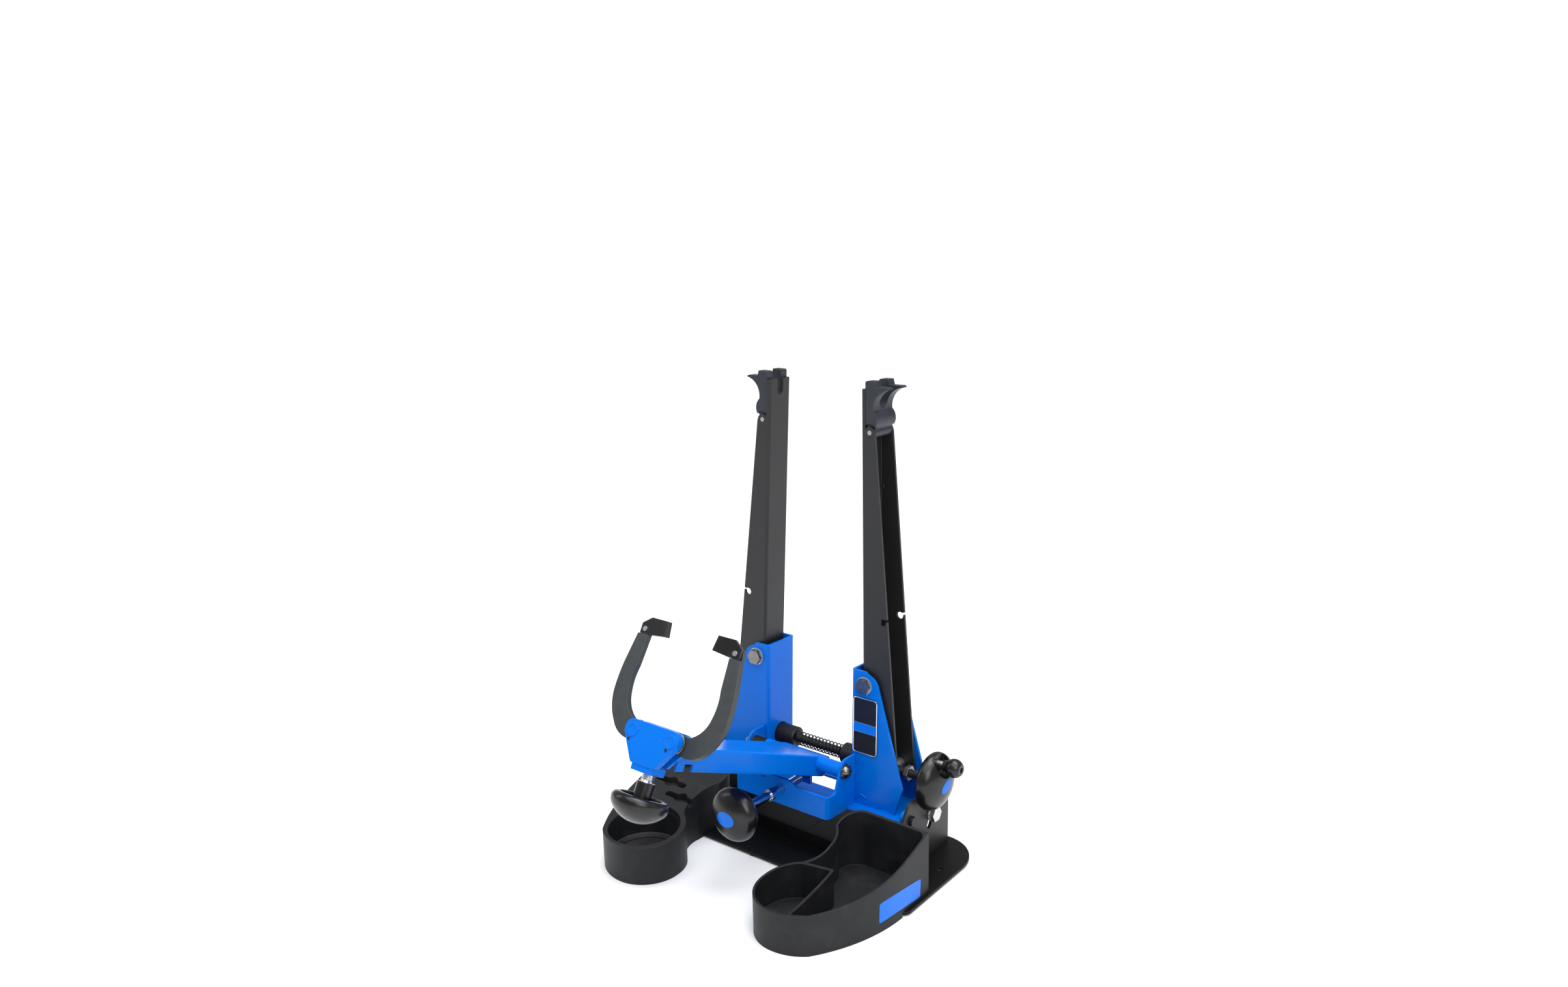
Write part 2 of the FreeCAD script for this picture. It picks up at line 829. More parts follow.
def tray_normals():
    """Outward directions at the named points of the right tray's plan."""
    normals = {}
    edges = []
    names = [name for name, via in ORDER]
    for i, (name, via) in enumerate(ORDER):
        start = flat(tray_spot(1, names[i - 1]))
        end = flat(tray_spot(1, name))
        if via is None:
            length = math.dist(start, end)
            outward = ((start[1] - end[1]) / length, (end[0] - start[0]) / length)
            edges.append((outward, outward))
            continue
        middle = flat(tray_spot(1, via))
        centre = centre_through(start, middle, end)
        radius = math.dist(centre, start)
        sign = -1 if leans_left(start, middle, end) else 1
        units = [[sign * (v - c) / radius for v, c in zip(p, centre)] for p in (start, middle, end)]
        normals[via] = units[1]
        edges.append((units[0], units[2]))
    for i, name in enumerate(names):
        into = edges[i][1]
        out = edges[(i + 1) % len(names)][0]
        scale = 1 + into[0] * out[0] + into[1] * out[1]
        normals[name] = [(a + b) / scale for a, b in zip(into, out)]
    return normals


NORMAL_SHARES = tray_normals()


def tray_point(side, name, inset=0):
    x, y = tray_spot(side, name)
    out_x, out_y = NORMAL_SHARES[name]
    return (x - side * inset * out_x, y - inset * out_y)


def tray_steps(side, names, inset):
    """Steps of a plan outline through named points, each a corner or an arc."""
    steps = []
    for name, via in names:
        if via is None:
            steps.append(tray_point(side, name, inset))
        else:
            steps.append(("bow", *tray_point(side, via, inset), *tray_point(side, name, inset)))
    return steps


def make_tray_shell(name, side):
    """The moulded outside with its swept rim, hollow below and stepped over the base plate."""
    body = piece("tray_" + name)
    extrude(body, "Z", 0, mm.rim_rear, outline(*tray_steps(side, ORDER, 0)))
    front = -mm.tray_front - mm.overrun
    rear = mm.overrun - tray_rear
    middle = -tray_rear - (mm.tray_front - tray_rear) / 2
    top = mm.rim_rear + mm.overrun
    half = mm.tray_half_width + mm.overrun
    extrude(body, "X", -half, half,
            outline((-mm.tray_front, mm.rim_front), ("bow", middle, mm.rim_middle, -tray_rear, mm.rim_rear),
                    (rear, mm.rim_rear), (rear, top), (front, top), (front, mm.rim_front)), cut=True)
    plate_edge = -mm.plate_front - mm.gap
    extrude(body, "Z", 0, plate_top + mm.gap, box(-half, half, plate_edge, rear), cut=True)
    return body


bin_side = mm.tray_wall / 2
DIVIDER_SHARES = {"front": (0.694, 0.985), "rear": (0.661, 0.497), "bulge": (0.568, 0.465)}


def divider_spot(name):
    across, along = DIVIDER_SHARES[name]
    return (mm.tray_half_width * across, -tray_rear - (mm.tray_front - tray_rear) * along)


def make_bin_tray():
    """The crank side tray: a cup in front, closed off by a straight wall, and a bin behind."""
    body = make_tray_shell("right", 1)
    wall = mm.tray_wall
    side, nose, front, cup, neck, hip, waist, heel = ORDER[1:]
    front_x, front_y = divider_spot("front")
    rear_x, rear_y = divider_spot("rear")
    bulge_x, bulge_y = divider_spot("bulge")
    front_y = tray_point(1, "front_via", wall)[1]
    neck_x, neck_y = tray_point(1, "neck", wall)
    bin_steps = [tray_point(1, "corner", wall) + (mm.bin_corner,)]
    bin_steps += tray_steps(1, [side, nose], wall)
    bin_steps += [(front_x + bin_side, front_y + wall), (rear_x + bin_side, rear_y + bin_side, wall),
                  (neck_x + wall, neck_y + wall)]
    bin_steps += tray_steps(1, [hip, waist, heel], wall)
    top = mm.rim_rear + mm.overrun
    extrude(body, "Z", mm.tray_floor, top, outline(*bin_steps), cut=True)
    cup_steps = tray_steps(1, [("front", None), cup, neck], wall)
    cup_steps[-1] = ("bow", *tray_point(1, "neck_via", wall), neck_x - bin_side, neck_y - bin_side)
    cup_steps += [(rear_x - bin_side, rear_y - bin_side, wall), (front_x - bin_side, front_y)]
    extrude(body, "Z", mm.tray_floor, top, outline(*cup_steps), cut=True)
    hollow_below(body, 1)


def hollow_below(body, side):
    """The recess under the floor, an even wall in from the outside."""
    low = mm.tray_floor - mm.tray_floor_thick
    extrude(body, "Z", 0, low, outline(*tray_steps(side, ORDER, mm.tray_wall)), cut=True)


WRENCH_SHARES = ((0.77, 0.30), (0.60, 0.40), (0.78, 0.12))


def make_deck_tray():
    """The other tray: a round cup in front and a solid deck with recesses for spoke wrenches."""
    body = make_tray_shell("left", -1)
    top = mm.rim_rear + mm.overrun
    revolve(body, "Z", (-mm.cup_x, -mm.cup_y, 0),
            outline((0, mm.tray_floor), (mm.cup_radius, mm.tray_floor, mm.cup_bowl), (mm.cup_radius, top),
                    (0, top)), cut=True)
    length = mm.tray_front - tray_rear
    for across, along in WRENCH_SHARES:
        x = -mm.tray_half_width * across
        y = -tray_rear - length * along
        low = mm.rim_rear - (mm.rim_rear - mm.rim_middle) * 2 * along - mm.wrench_depth
        extrude(body, "Z", low, top, slot(x - mm.wrench_reach, x + mm.wrench_reach, y, mm.wrench_arm), cut=True)
        extrude(body, "Z", low, top, ring(x, y, mm.wrench_lobe), cut=True)
    hollow_below(body, -1)
    wall = mm.tray_wall * 2
    neck = tray_point(-1, "neck", wall)
    shell = tray_steps(-1, [("corner", None), ("side", None)], wall)
    shell += [(-mm.tray_half_width * DECK_SHARE, neck[1])]
    shell += tray_steps(-1, [("neck", None), ORDER[6], ORDER[7], ORDER[8]], wall)
    extrude(body, "Z", 0, mm.deck_shell, outline(*shell), cut=True)


DECK_SHARE = 0.9


# Cradle and front channel of the stand

cradle_top = mm.cradle_floor + mm.cradle_thick
ear_inner = mm.channel_half - mm.cradle_thick


def lock_point():
    """The lock bolt in the stand's frame, on its circle round the tilt pivot."""
    y = mm.stand_pivot_y + mm.lock_radius * cosine(mm.lock_angle)
    z = mm.pivot_z - mm.lock_radius * sine(mm.lock_angle)
    return y, z


def make_cradle():
    body = stand_piece("cradle")
    wide = mm.cradle_half
    narrow = mm.channel_half
    front = -mm.channel_front
    step = -mm.cradle_front
    extrude(body, "Z", mm.cradle_floor, cradle_top,
            outline((-narrow, front, mm.channel_bend), (narrow, front, mm.channel_bend), (narrow, step),
                    (wide, step), (wide, mm.cradle_rear), (-wide, mm.cradle_rear), (-wide, step),
                    (-narrow, step)),
            box(-mm.window_half, mm.window_half, -mm.window_front, mm.window_rear, mm.window_round))
    for side in (-1, 1):
        extrude(body, "X", *span(side, wide - mm.cradle_thick, wide),
                box(step, mm.cradle_rear, mm.cradle_low, mm.cradle_high, mm.cradle_round))
        low, high = span(side, wide - mm.cradle_thick - mm.gap, wide + mm.gap)
        drill(body, "X", (0, mm.stand_pivot_y, mm.pivot_z), low, high, mm.pivot_shank + mm.fit)
        drill(body, "X", (0, *lock_point()), low, high, mm.lock_shank + mm.fit)


def make_lock_bolts():
    """Zinc hex bolts, screwed into the cradle, that clamp the stand in the curved slots."""
    bolts = stand_piece("lock_bolts")
    washers = stand_piece("lock_washers")
    y, z = lock_point()
    washer_low = cheek_outer + mm.gap
    washer_high = washer_low + mm.washer_thick
    tip = mm.cradle_half - mm.cradle_thick
    for side in (-1, 1):
        extrude(bolts, "X", *span(side, washer_high, washer_high + mm.lock_head_thick),
                hexagon(y, z, mm.lock_head))
        rod(bolts, "X", (0, y, z), *span(side, tip, washer_high), mm.lock_shank)
        rod(washers, "X", (0, y, z), *span(side, washer_low, washer_high), mm.lock_washer,
            mm.lock_shank + mm.fit)


channel_top = mm.channel_top


def make_front_channel():
    """One bent sheet: the front wall with its rounded tab, and an ear at either end."""
    body = stand_piece("front_channel")
    half = mm.channel_half
    front = -mm.channel_front
    rear = -mm.bracket_half_depth - mm.gap
    thick = mm.cradle_thick
    bend = mm.channel_bend
    extrude(body, "Z", cradle_top, mm.ear_top,
            outline((-half, front, bend), (half, front, bend), (half, rear), (half - thick, rear),
                    (half - thick, front + thick, bend - thick), (thick - half, front + thick, bend - thick),
                    (thick - half, rear), (-half, rear)))
    over = mm.overrun
    high = mm.ear_top + over
    tab_top = channel_top + mm.tab_rise
    extrude(body, "Y", front - over, front + bend + mm.gap,
            outline((-half - over, channel_top), (-mm.tab_half - mm.tab_round, channel_top, mm.tab_round / 2),
                    (-mm.tab_half, tab_top, mm.tab_round / 2), (mm.tab_half, tab_top, mm.tab_round / 2),
                    (mm.tab_half + mm.tab_round, channel_top, mm.tab_round / 2), (half + over, channel_top),
                    (half + over, high), (-half - over, high)), cut=True)
    nose = mm.arm_y - mm.ear_reach
    extrude(body, "X", -half - over, half + over,
            outline((front + bend, channel_top), (-mm.ear_foot, channel_top, mm.channel_bend),
                    (nose, mm.arm_z, mm.ear_round), (nose + mm.ear_reach / 2, mm.ear_top, mm.ear_round),
                    (rear + over, mm.ear_top), (rear + over, high), (front + bend, high)), cut=True)
    for side in (-1, 1):
        drill(body, "X", (0, mm.arm_y, mm.arm_z), *span(side, half - thick - mm.gap, half + mm.gap),
              mm.rod_radius + mm.fit)
    drill(body, "Y", (0, 0, lift_z), front - mm.gap, front + thick + mm.gap, mm.bushing_radius + mm.fit)


lift_z = mm.arm_z - mm.lift_drop


# Brackets that hold the uprights

def make_bracket(name, side):
    """A bent U of sheet whose two flanges carry an upright's pivot."""
    body = stand_piece("bracket_" + name)
    near = mm.bracket_inner
    far = near + mm.bracket_width
    thick = mm.bracket_thick
    half = mm.bracket_half_depth
    inner = half - thick
    bend = mm.bracket_bend
    extrude(body, "Z", cradle_top, mm.bracket_top,
            outline((side * near, -half, bend), (side * far, -half), (side * far, -inner),
                    (side * (near + thick), -inner, bend - thick), (side * (near + thick), inner, bend - thick),
                    (side * far, inner), (side * far, half), (side * near, half, bend)))
    over = mm.overrun
    top_x = near + mm.bracket_top_width
    neck_x = mm.upright_x + mm.bracket_top_width
    foot_x = near + mm.bracket_foot_width
    extrude(body, "Y", -half - over, half + over,
            outline((side * top_x, mm.bracket_top + over), (side * top_x, mm.bracket_top, mm.bracket_top_width),
                    (side * neck_x, mm.bracket_top - mm.bracket_top_width / 2, mm.bracket_top_width),
                    (side * far, mm.bracket_waist, mm.bracket_bend), (side * foot_x, cradle_top),
                    (side * foot_x, cradle_top - over), (side * (far + over), cradle_top - over),
                    (side * (far + over), mm.bracket_top + over)), cut=True)
    extrude(body, "Y", -half - over, half + over,
            ring(side * mm.upright_x, mm.upright_z, mm.upright_shank + mm.fit), cut=True)
    low, high = span(side, near - mm.gap, near + thick + mm.gap)
    drill(body, "X", (0, 0, mm.shaft_z), low, high, mm.bracket_hole)


def make_label_plate():
    """The bare badge plate on the crank side bracket, with its raised rim."""
    body = stand_piece("label_plate")
    near = mm.bracket_inner + mm.label_inset
    far = near + mm.label_width
    back = -mm.bracket_half_depth
    front = back - mm.label_thick
    rim = mm.label_rim
    extrude(body, "Y", front, back, box(near, far, mm.label_low, mm.label_high, mm.label_round))
    extrude(body, "Y", front, front + mm.label_recess,
            box(near + rim, far - rim, mm.label_low + rim, mm.label_high - rim, mm.label_round - rim), cut=True)


def make_upright_fasteners():
    bolts = stand_piece("upright_bolts")
    washers = stand_piece("upright_washers")
    nuts = stand_piece("upright_nuts")
    spacers = stand_piece("upright_spacers")
    half = mm.bracket_half_depth
    outer = half + mm.washer_thick
    head = outer + mm.upright_bolt_thick
    shank = mm.upright_shank
    spacer_high = half - mm.bracket_thick - mm.gap
    spacer_low = mm.upright_half_depth + mm.gap
    for side in (-1, 1):
        x = side * mm.upright_x
        z = mm.upright_z
        extrude(bolts, "Y", -head, -outer, hexagon(x, z, mm.upright_bolt_head))
        rod(bolts, "Y", (x, 0, z), -outer, head + mm.washer_thick, shank)
        extrude(nuts, "Y", outer, head, hexagon(x, z, mm.upright_bolt_head), ring(x, z, shank + mm.fit))
        for front in (-1, 1):
            rod(washers, "Y", (x, 0, z), *span(front, half, outer), mm.upright_washer, shank + mm.fit)
            rod(spacers, "Y", (x, 0, z), *span(front, spacer_low, spacer_high), mm.spacer_radius,
                shank + mm.fit)


# Uprights, drawn about their pivots and splayed

def upright_piece(label, side):
    body = stand_piece(label, side * mm.upright_x, 0, mm.upright_z)
    splay = FreeCAD.Rotation(FreeCAD.Vector(0, 1, 0), -side * mm.splay.value)
    body.Placement = FreeCAD.Placement(body.Placement.Base, body.Placement.Rotation.multiply(splay))
    return body


def upright_spot(out, rise):
    """A point of the stand, given outward and up from the pivot, in the upright's own frame."""
    return (out * cosine(mm.splay) + rise * sine(mm.splay), rise * cosine(mm.splay) - out * sine(mm.splay))


upright_back = -mm.upright_web
upright_edge_low = mm.upright_width_low - mm.upright_web
upright_edge_high = mm.upright_width_high - mm.upright_web
edge_slope = (upright_edge_low - upright_edge_high) / (mm.upright_high + mm.upright_low)
shaft_drop = mm.shaft_z - mm.upright_z


def free_edge(rise):
    """How far out the flanges' free edges lie at a height above the pivot."""
    return upright_edge_high + edge_slope * (mm.upright_high - rise)


def tall_slot(x, z, radius, half_rise):
    return outline((x - radius, z - half_rise), ("bow", x, z - half_rise - radius, x + radius, z - half_rise),
                   (x + radius, z + half_rise), ("bow", x, z + half_rise + radius, None))


def make_upright(name, side):
    """A tapered channel: web towards the wheel, axle slot on top, barrel nut slots below."""
    body = upright_piece("upright_" + name, side)
    half = mm.upright_half_depth
    thick = mm.upright_thick
    inner = half - thick
    bend = mm.upright_bend
    over = mm.overrun
    top = mm.upright_high
    low = -mm.upright_low
    web = side * upright_back
    face = side * (upright_back + thick)
    far = side * upright_edge_low
    extrude(body, "Z", low, top,
            outline((web, -half, bend), (far, -half), (far, -inner), (face, -inner, bend - thick),
                    (face, inner, bend - thick), (far, inner), (far, half), (web, half, bend)))
    extrude(body, "Y", -half - over, half + over,
            outline((far, low), (side * upright_edge_high, top), (side * upright_edge_high, top + over),
                    (far + side * over, top + over), (far + side * over, low)), cut=True)
    drill(body, "Y", (0, 0, 0), -half - over, half + over, mm.upright_shank + mm.fit)
    slot_x, slot_z = upright_spot(mm.trunnion_x - mm.upright_x, shaft_drop)
    extrude(body, "Y", -half - over, half + over,
            tall_slot(side * slot_x, slot_z, mm.trunnion_radius + mm.gap, mm.trunnion_rise), cut=True)
    low_face, high_face = span(side, upright_back - over, upright_back + thick + mm.gap)
    width = mm.axle_slot
    axle = mm.axle_rise
    extrude(body, "X", low_face, high_face,
            outline((-width, top + over), (-width, axle), ("bow", 0, axle - width, width, axle),
                    (width, top + over)), cut=True)
    extrude(body, "X", low_face, high_face,
            tall_slot(0, shaft_drop, mm.shaft_radius + mm.trunnion_rise, mm.trunnion_rise), cut=True)
    notch_x = side * (free_edge(mm.notch_rise) - mm.notch_radius * 1.5)
    neck = mm.notch_neck
    extrude(body, "Y", -half - over, half + over, ring(notch_x, mm.notch_rise, mm.notch_radius), cut=True)
    extrude(body, "Y", -half - over, half + over,
            outline((notch_x, mm.notch_rise), (notch_x, mm.notch_rise + neck),
                    (notch_x + side * over, mm.notch_rise + neck + over / 4),
                    (notch_x + side * over, mm.notch_rise + over / 4)), cut=True)
    pin_x = mm.adaptor_pin_x
    pin_z = mm.adaptor_pin_z
    arc = mm.adaptor_arc
    relief = upright_back + mm.adaptor_strip
    rise = root(arc * arc - (pin_x - relief) * (pin_x - relief))
    relieve_flanges(body, side, relief, rise)
    drill(body, "Y", (side * pin_x, 0, pin_z), -half - over, half + over, mm.adaptor_pin + mm.fit)


def relieve_flanges(body, side, relief, rise):
    """Both flanges are cut back on top, round the adaptor's pin."""
    half = mm.upright_half_depth
    inner = half - mm.upright_thick
    top = mm.upright_high + mm.overrun
    far = side * upright_edge_low
    pin_x = mm.adaptor_pin_x
    pin_z = mm.adaptor_pin_z
    arc = mm.adaptor_arc
    for front in (-1, 1):
        extrude(body, "Y", *span(front, inner, half + mm.gap),
                outline((side * relief, top), (side * relief, pin_z + rise),
                        ("bow", side * pin_x, pin_z + arc, side * (pin_x + arc), pin_z),
                        (far, pin_z), (far, top)), cut=True)


def make_adaptor(name, side):
    """A plastic axle seat that folds outward about a pin in the upright's flanges."""
    body = upright_piece("axle_adaptor_" + name, side)
    half = mm.upright_half_depth - mm.gap
    inner = half - mm.upright_thick
    pin_x = mm.adaptor_pin_x
    pin_z = mm.adaptor_pin_z
    back = upright_back + mm.adaptor_strip + mm.gap
    top = mm.adaptor_top
    nose = mm.adaptor_nose
    waist = nose / 2
    extrude(body, "Y", -half, half,
            outline((side * back, pin_z), (side * waist, pin_z + mm.adaptor_arc / 2),
                    ("bow", side * (waist + mm.adaptor_wave), pin_z + nose,
                     side * waist, pin_z + nose + mm.adaptor_arc),
                    ("bow", side * (waist + mm.adaptor_wave), top - nose,
                     side * nose * 1.6, top - nose / 2),
                    (side * nose * 1.5, top - mm.adaptor_arc, mm.adaptor_pin),
                    (side * nose * 0.7, top - mm.adaptor_arc), (side * nose * 0.6, top),
                    (side * back, top, mm.adaptor_pin)))
    for front in (-1, 1):
        extrude(body, "Y", *span(front, inner, half + mm.gap),
                ring(side * pin_x, pin_z, mm.adaptor_clear), cut=True)
    rod(body, "Y", (side * pin_x, 0, pin_z), -inner, inner, mm.adaptor_arc)
    drill(body, "Y", (side * pin_x, 0, pin_z), -half, half, mm.adaptor_pin + mm.fit)
    low, high = span(side, back - mm.gap, nose * 2)
    width = mm.adaptor_seat
    extrude(body, "X", low, high,
            outline((-width, top + mm.gap), (-width, mm.axle_rise), ("bow", 0, mm.axle_rise - width,
                    width, mm.axle_rise), (width, top + mm.gap)), cut=True)


def make_adaptor_pins():
    for name, side in SIDES.items():
        body = upright_piece("adaptor_pin_" + name, side)
        half = mm.upright_half_depth
        rod(body, "Y", (side * mm.adaptor_pin_x, 0, mm.adaptor_pin_z), -half, half, mm.adaptor_pin)


# Spread mechanism: shaft, collars, barrel nuts and the crank knob

def web_face():
    """Where the upright's web meets the shaft's line, outward from the middle plane."""
    return mm.upright_x - (mm.upright_web + shaft_drop * sine(mm.splay)) / cosine(mm.splay)


def make_shaft():
    body = stand_piece("main_shaft")
    rod(body, "X", (0, 0, mm.shaft_z), -mm.shaft_left, mm.shaft_right, mm.shaft_radius)
    nut = stand_piece("shaft_nut")
    start = mm.shaft_nut_start
    extrude(nut, "X", start, start + mm.nut_thick, hexagon(0, mm.shaft_z, mm.shaft_nut),
            ring(0, mm.shaft_z, mm.shaft_radius + mm.fit))


def make_collar(name, side):
    """A spring collar whose round nose bears on the upright's web."""
    body = stand_piece("collar_" + name)
    start = mm.spring_half
    bore = mm.shaft_radius + mm.fit
    radius = mm.collar_radius
    lip = mm.collar_lip
    tip = web_face() - mm.gap
    nose = mm.collar_nose

    def nose_at(r):
        return (side * (tip - nose + root(nose * nose - r * r)), r)
    revolve(body, "X", (0, 0, mm.shaft_z),
            outline((side * start, bore), (side * start, radius - lip / 2),
                    (side * (start + lip / 2), radius), nose_at(radius),
                    ("bow", *nose_at((radius + bore) / 2), *nose_at(bore))))


def make_trunnion(name, side):
    """The barrel nut across the upright's flanges that the shaft's thread drives."""
    body = stand_piece("barrel_nut_" + name)
    x = side * mm.trunnion_x
    half = mm.upright_half_depth + mm.trunnion_proud
    rod(body, "Y", (x, 0, mm.shaft_z), -half, half, mm.trunnion_radius)
    low, high = span(side, mm.trunnion_x - mm.trunnion_radius - mm.gap, mm.trunnion_x + mm.trunnion_radius + mm.gap)
    drill(body, "X", (0, 0, mm.shaft_z), low, high, mm.shaft_radius + mm.fit)


def ray(along, out, reach):
    """The two parts of a step of a given reach in a direction."""
    length = root(along * along + out * out)
    return along * reach / length, out * reach / length


def cap_steps(level, radius, rise, direction=1):
    """A round cap centred on the axis, from its edge to its apex, as (along, radius) steps."""
    sphere = (radius * radius + rise * rise) / (2 * rise)
    along, out = ray(2 * sphere - rise, radius, sphere)
    apex = level + direction * rise
    return [("bow", apex + direction * (along - sphere), out, apex, 0)]


def dome_steps(level, depth, radius, direction=1):
    """A domed end from its rim to its apex: a round shoulder, then a cap centred on the axis."""
    shoulder = radius * SHOULDER_SHARE
    inner = radius - shoulder
    sphere = (depth * depth + inner * inner - shoulder * shoulder) / (2 * (depth - shoulder))
    along = (sphere - depth) / (sphere - shoulder)
    out = inner / (sphere - shoulder)
    via_along, via_out = ray(along, out + 1, shoulder)
    touch = depth - sphere + along * sphere
    return [("bow", level + direction * via_along, inner + via_out, level + direction * touch, out * sphere),
            *cap_steps(level + direction * touch, out * sphere, depth - touch, direction)]


def edge_steps(level, radius, rounding, direction=1):
    """A quarter round that turns a flat end into the side of a knob."""
    along, out = ray(rounding, rounding, rounding)
    return [("bow", level + direction * (rounding - along), radius - rounding + out,
             level + direction * rounding, radius)]


def knob_section(back, depth, skirt, radius, bore, bore_end, direction=1):
    """Half section of a solid domed knob with a ring recess in its back round the hub."""
    lip = mm.knob_wall
    hub = mm.knob_hub
    floor = back + direction * mm.knob_recess
    rim = radius - skirt - lip / 2
    return outline((bore_end, 0), (bore_end, bore), (back - direction * lip, bore),
                   (back - direction * lip, hub), (floor, hub, lip / 2), (floor, rim, lip / 2),
                   (back, rim), (back, radius - skirt), *edge_steps(back, radius, skirt, direction),
                   *dome_steps(back + direction * skirt, depth - skirt, radius, direction))


def make_crank_knob():
    body = stand_piece("crank_knob")
    back = mm.knob_back
    revolve(body, "X", (0, 0, mm.shaft_z),
            knob_section(back, mm.knob_depth, mm.knob_skirt, mm.knob_radius, mm.shaft_radius + mm.fit,
                         mm.shaft_right + mm.gap))
    spot = (0, 0, mm.shaft_z + mm.spinner_throw)
    end = back + mm.knob_depth + mm.overrun
    drill(body, "X", spot, mm.spinner_floor, end, mm.spinner_recess)
    drill(body, "X", spot, mm.spinner_floor - mm.spinner_stem, end, mm.spinner_stem + mm.fit)


def make_spinner():
    stem = stand_piece("spinner_stem")
    spot = (0, 0, mm.shaft_z + mm.spinner_throw)
    rod(stem, "X", spot, mm.spinner_floor - mm.spinner_stem, mm.spinner_end - mm.spinner_hex, mm.spinner_stem)
    body = stand_piece("spinner")
    start = mm.spinner_start
    end = mm.spinner_end
    radius = mm.spinner_radius
    neck = mm.spinner_neck
    bore = mm.spinner_stem + mm.fit
    bore_end = end - mm.spinner_hex + mm.gap
    reach = root(radius * radius - neck * neck)
    revolve(body, "X", spot,
            outline((bore_end, 0), (bore_end, bore), (start, bore), (start, neck),
                    (end - 2 * reach, neck), ("bow", end - reach, radius, end, neck), (end, 0)))
    extrude(body, "X", end - mm.spinner_hex / 2, end + mm.gap, hexagon(0, spot[2], mm.spinner_neck), cut=True)


# Caliper arm that lifts about its pivot

slot_floor = -mm.head_thick - mm.head_slot
back_face = slot_floor - mm.back_thick
arm_front_face = -mm.head_thick - mm.torsion_wire * 2 - mm.gap * 2
arm_back_face = arm_front_face - mm.caliper_thick
pivot_drop = -mm.caliper_drop
head_foot = -mm.head_low
chin_foot = head_foot - mm.chin_drop

def arm_piece(label):
    return stand_piece(label, 0, mm.arm_y, mm.arm_z, -mm.arm_slope)


def arm_end(z):
    """How far forward the arm reaches, at a height in its own frame, to meet the head's back."""
    turn = mm.head_tilt + mm.arm_slope
    back = mm.head_y - mm.arm_y
    rise = mm.head_z - mm.arm_z
    head_y = back * cosine(mm.arm_slope) - rise * sine(mm.arm_slope)
    head_z = back * sine(mm.arm_slope) + rise * cosine(mm.arm_slope)
    return head_y + (cosine(turn) * (z - head_z) - back_face) / sine(turn)


def arm_half(y):
    """Half width of the arm at a place along it."""
    slope = (mm.arm_half_rear - mm.arm_half_front) / (mm.arm_rear - arm_end(-mm.arm_down))
    return mm.arm_half_rear - (mm.arm_rear - y) * slope


def make_arm():
    """A tapered channel, open below, rounded at its rear, with a notch before the head."""
    body = arm_piece("arm_channel")
    wide = mm.arm_half_rear
    rear = mm.arm_rear
    up = mm.arm_up
    down = -mm.arm_down
    front = arm_end(down)
    over = mm.overrun
    extrude(body, "X", -wide, wide,
            outline((rear, up, mm.arm_thick), (rear, down, mm.arm_round), (front, down), (arm_end(up), up)))
    for side in (-1, 1):
        extrude(body, "Z", down - over, up + over,
                outline((side * arm_half(rear + over), rear + over), (side * arm_half(front - over), front - over),
                        (side * (wide + over), front - over), (side * (wide + over), rear + over)), cut=True)
    dress(body, "Fillet", mm.arm_thick,
          lambda edge: at_level("Z", up)(edge) and edge.Length > -front.value / 2)
    wall = mm.arm_thick
    extrude(body, "Z", down - over, up - wall,
            outline((arm_half(rear + over) - wall, rear + over), (arm_half(front - over) - wall, front - over),
                    (wall - arm_half(front - over), front - over), (wall - arm_half(rear + over), rear + over)),
            cut=True)
    notch = mm.arm_round * 1.5
    notch_rear = front + notch * 2
    extrude(body, "X", -wide - over, wide + over,
            box(notch_rear - notch, notch_rear, down - over, down + mm.arm_round), cut=True)
    drill(body, "X", (0, 0, 0), -wide - over, wide + over, mm.tube_radius + mm.fit)


RIGHT_ANGLE = 90


def make_arm_pivot():
    tube = arm_piece("arm_tube")
    rod(tube, "X", (0, 0, 0), -mm.tube_left, ear_inner - mm.gap, mm.tube_radius, mm.rod_radius + mm.fit)
    bar = stand_piece("arm_pivot_rod")
    half = mm.channel_half
    washer = half + mm.star_thick
    end = washer + mm.button_thick
    spot = (0, mm.arm_y, mm.arm_z)
    rod(bar, "X", spot, -washer, washer, mm.rod_radius)
    stars = stand_piece("arm_star_washers")
    buttons = stand_piece("arm_pivot_buttons")
    tooth = mm.star_radius * math.sin(math.pi / SIZES["star_lobes"]) / 2
    for side in (-1, 1):
        rod(stars, "X", spot, *span(side, half, washer), mm.star_radius, mm.rod_radius + mm.fit)
        revolve(buttons, "X", spot,
                outline((side * washer, 0), (side * washer, mm.button_radius),
                        ("bow", side * (end - mm.button_thick * 0.3), mm.button_radius * 0.75,
                         side * end, mm.button_radius / 2), (side * end, 0)))
        extrude(buttons, "X", *span(side, end - mm.button_thick / 2, end + mm.gap),
                hexagon(mm.arm_y, mm.arm_z, mm.button_socket), cut=True)
    for i in range(SIZES["star_lobes"]):
        angle = math.radians(FULL_TURN * i / SIZES["star_lobes"])
        y = mm.arm_y + mm.star_radius * math.cos(angle)
        z = mm.arm_z + mm.star_radius * math.sin(angle)
        extrude(stars, "X", -washer - mm.gap, washer + mm.gap, ring(y, z, tooth), cut=True)


def make_lug():
    """The flat lug under the arm that the tilt screw's tip meets."""
    body = stand_piece("arm_lug", 0, mm.arm_y, mm.arm_z)
    face = mm.lug_face
    back = face + mm.lug_thick
    under = mm.arm_up - mm.arm_thick - mm.fit

    def top(y):
        return (under - y * sine(mm.arm_slope)) / cosine(mm.arm_slope)
    low = -mm.lift_drop - mm.lug_tail
    extrude(body, "X", -mm.lug_half, mm.lug_half,
            outline((face, low), (back, low), (back, top(back)), (face, top(face))))


